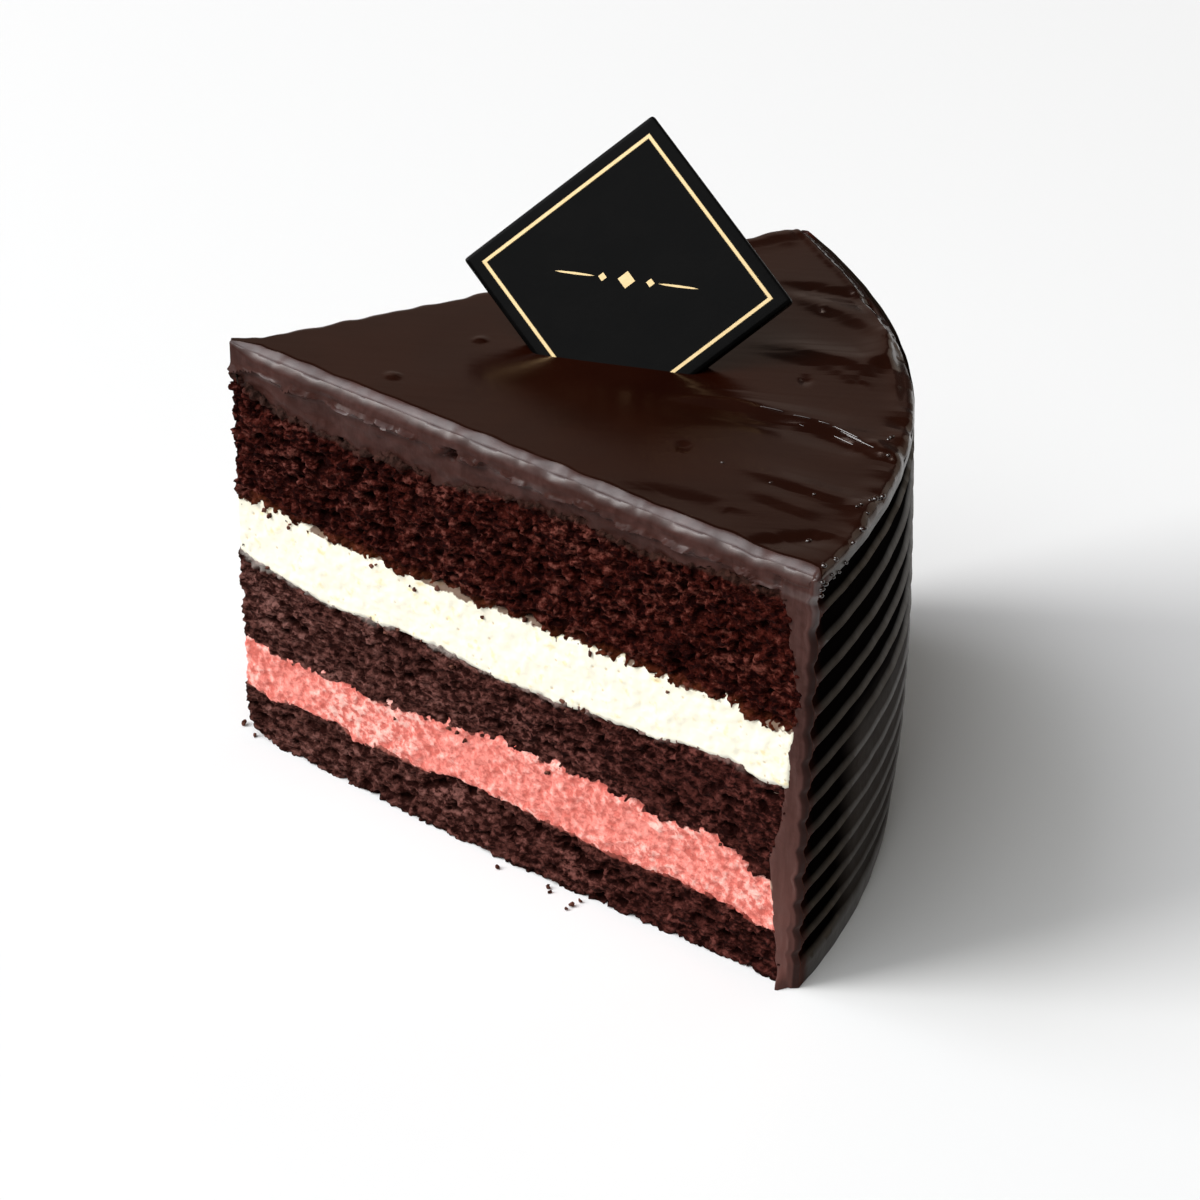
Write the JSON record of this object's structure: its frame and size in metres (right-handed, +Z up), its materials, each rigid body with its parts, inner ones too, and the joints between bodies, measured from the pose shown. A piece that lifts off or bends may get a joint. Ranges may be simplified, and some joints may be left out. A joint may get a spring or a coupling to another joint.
{
  "type": "slice of chocolate layer cake",
  "caption": "Wedge of layered chocolate sponge with white and pink cream, a glossy ganache top, a combed ganache rim and a small dark chocolate plaque on the top.",
  "frame": {"origin": "middle of the footprint, on the surface that the slice stands on", "axes": "+Z up, +X from the tip of the slice to its combed rim, -Y on the side of the front cut"},
  "size_m": [0.1036, 0.1004, 0.1003],
  "materials": {
    "dark_sponge": "open matt crumb",
    "top_sponge": "open matt crumb",
    "pink_cream": "aerated, matt",
    "white_cream": "aerated, matt",
    "ganache": "satin gloss",
    "black_chocolate": "satin"
  },
  "bodies": {
    "root": {"sponge_bottom": "dark_sponge", "cream_pink": "pink_cream", "sponge_middle": "dark_sponge", "cream_white": "white_cream", "sponge_top": "top_sponge", "ganache": "ganache", "plaque": "black_chocolate"}
  },
  "joints": []
}
